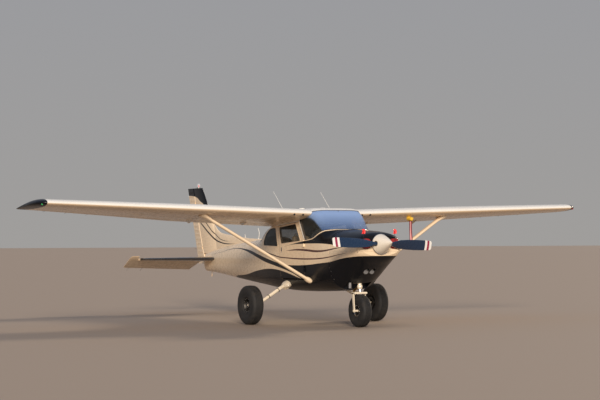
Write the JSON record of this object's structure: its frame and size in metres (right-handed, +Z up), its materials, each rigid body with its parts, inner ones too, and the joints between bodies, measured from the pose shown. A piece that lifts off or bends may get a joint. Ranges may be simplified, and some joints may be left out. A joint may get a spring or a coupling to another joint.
{
  "type": "light aircraft",
  "caption": "High-wing four-seat light aircraft with strut-braced wings, a nose propeller and oversize tyres on tricycle gear.",
  "frame": {"origin": "on the ground, midway along the aircraft and on its centreline, under the cabin's rear", "axes": "+Z up, the nose points along -Y, the aircraft's own left wing along +X"},
  "size_m": [10.92, 8.2449, 2.658],
  "materials": {
    "cream_skin": "gloss paint",
    "white_skin": "gloss paint",
    "black_skin": "gloss paint",
    "steel_sheet": "satin",
    "gear_paint": "gloss paint",
    "window_glass": "clear",
    "trim": "matt",
    "seat_cover": "soft",
    "engine": "rough",
    "plug_foam": "matt",
    "lamp_lens": "clear",
    "beacon_lens": "gloss",
    "blade": "gloss paint",
    "tyre": "matt",
    "hub_metal": "satin"
  },
  "bodies": {
    "airframe": {"firewall": "steel_sheet", "belly_pan": "black_skin", "cowl_deck": "black_skin", "roof": "white_skin", "front_side_left": "cream_skin", "front_side_right": "cream_skin", "rear_side_left": "cream_skin", "rear_side_right": "cream_skin", "baggage_bulkhead": "trim", "cabin_floor": "trim", "windscreen": "window_glass", "rear_window": "window_glass", "quarter_window_left": "window_glass", "quarter_window_right": "window_glass", "instrument_panel": "trim", "front_seat_left": "seat_cover", "front_seat_right": "seat_cover", "rear_seat": "seat_cover", "upper_cowl": "black_skin", "lower_cowl": "black_skin", "engine_block": "engine", "inlet_plug_left": "plug_foam", "inlet_plug_right": "plug_foam", "landing_lamps": "lamp_lens", "wing_left": "white_skin", "wing_right": "white_skin", "wing_tip_left": "black_skin", "wing_tip_right": "black_skin", "wing_strut_left": "cream_skin", "wing_strut_right": "cream_skin", "tailcone": "cream_skin", "fin": "cream_skin", "beacon": "beacon_lens", "stabiliser_left": "cream_skin", "stabiliser_right": "cream_skin", "main_gear_leg_left": "gear_paint", "main_gear_leg_right": "gear_paint", "nose_strut": "gear_paint"},
    "propeller": {"spinner": "cream_skin", "propeller_blades": "blade"},
    "cabin_door_left": {"door_left": "cream_skin", "door_window_left": "window_glass"},
    "cabin_door_right": {"door_right": "cream_skin", "door_window_right": "window_glass"},
    "baggage_door": {"baggage_door": "cream_skin"},
    "flap_left": {"flap_left": "white_skin"},
    "flap_right": {"flap_right": "white_skin"},
    "aileron_left": {"aileron_left": "white_skin"},
    "aileron_right": {"aileron_right": "white_skin"},
    "rudder": {"rudder": "cream_skin"},
    "elevator": {"elevator_left": "cream_skin", "elevator_right": "cream_skin"},
    "nose_fork": {"nose_fork": "gear_paint"},
    "nose_wheel": {"tyre_nose": "tyre", "hub_nose": "hub_metal"},
    "main_wheel_left": {"tyre_left": "tyre", "hub_left": "hub_metal"},
    "main_wheel_right": {"tyre_right": "tyre", "hub_right": "hub_metal"}
  },
  "joints": [
    {"name": "propeller_spin", "type": "hinge", "parent": "airframe", "child": "propeller", "pos_m": [0, -3.8125, 1.428], "axis": [0, -0.9969, 0.0785], "continuous": true},
    {"name": "nose_steering", "type": "hinge", "parent": "airframe", "child": "nose_fork", "pos_m": [0, -3.0615, 0.565], "axis": [0, 0.1467, 0.9892], "range_deg": [-30, 30]},
    {"name": "nose_wheel_spin", "type": "hinge", "parent": "nose_fork", "child": "nose_wheel", "pos_m": [0, -3.0495, 0.28], "axis": [1, 0, 0], "continuous": true},
    {"name": "main_wheel_left_spin", "type": "hinge", "parent": "airframe", "child": "main_wheel_left", "pos_m": [1.276, -1.3995, 0.345], "axis": [1, 0, 0], "continuous": true},
    {"name": "main_wheel_right_spin", "type": "hinge", "parent": "airframe", "child": "main_wheel_right", "pos_m": [-1.276, -1.3995, 0.345], "axis": [1, 0, 0], "continuous": true},
    {"name": "cabin_door_left_hinge", "type": "hinge", "parent": "airframe", "child": "cabin_door_left", "pos_m": [0.546, -2.0155, 1.2], "axis": [0, 0, -1], "range_deg": [0, 80]},
    {"name": "cabin_door_right_hinge", "type": "hinge", "parent": "airframe", "child": "cabin_door_right", "pos_m": [-0.546, -2.0155, 1.2], "axis": [0, 0, 1], "range_deg": [0, 80]},
    {"name": "baggage_door_hinge", "type": "hinge", "parent": "airframe", "child": "baggage_door", "pos_m": [0.508, -0.7275, 1.15], "axis": [0, 0, -1], "range_deg": [0, 90]},
    {"name": "flap_left_hinge", "type": "hinge", "parent": "airframe", "child": "flap_left", "pos_m": [1.5, -1.04436, 1.7826], "axis": [-0.9995, 0, -0.0302], "range_deg": [0, 40]},
    {"name": "flap_right_hinge", "type": "hinge", "parent": "airframe", "child": "flap_right", "pos_m": [-1.5, -1.04436, 1.7826], "axis": [-0.9995, 0, 0.0302], "range_deg": [0, 40]},
    {"name": "aileron_left_hinge", "type": "hinge", "parent": "airframe", "child": "aileron_left", "pos_m": [2.6, -0.88565, 1.88825], "axis": [0.9919, -0.1133, 0.0575], "range_deg": [-15, 20]},
    {"name": "aileron_right_hinge", "type": "hinge", "parent": "airframe", "child": "aileron_right", "pos_m": [-2.6, -0.88565, 1.88825], "axis": [0.9919, 0.1133, -0.0575], "range_deg": [-15, 20]},
    {"name": "rudder_hinge", "type": "hinge", "parent": "airframe", "child": "rudder", "pos_m": [0, 3.3005, 1.25], "axis": [0, 0.3738, 0.9275], "range_deg": [-17, 17]},
    {"name": "elevator_hinge", "type": "hinge", "parent": "airframe", "child": "elevator", "pos_m": [0, 3.1725, 1.092], "axis": [1, 0, 0], "range_deg": [0, 51]}
  ],
  "couplings": [
    {"joint": "flap_right_hinge", "follows": "flap_left_hinge", "ratio": 1},
    {"joint": "aileron_right_hinge", "follows": "aileron_left_hinge", "ratio": -0.75}
  ]
}
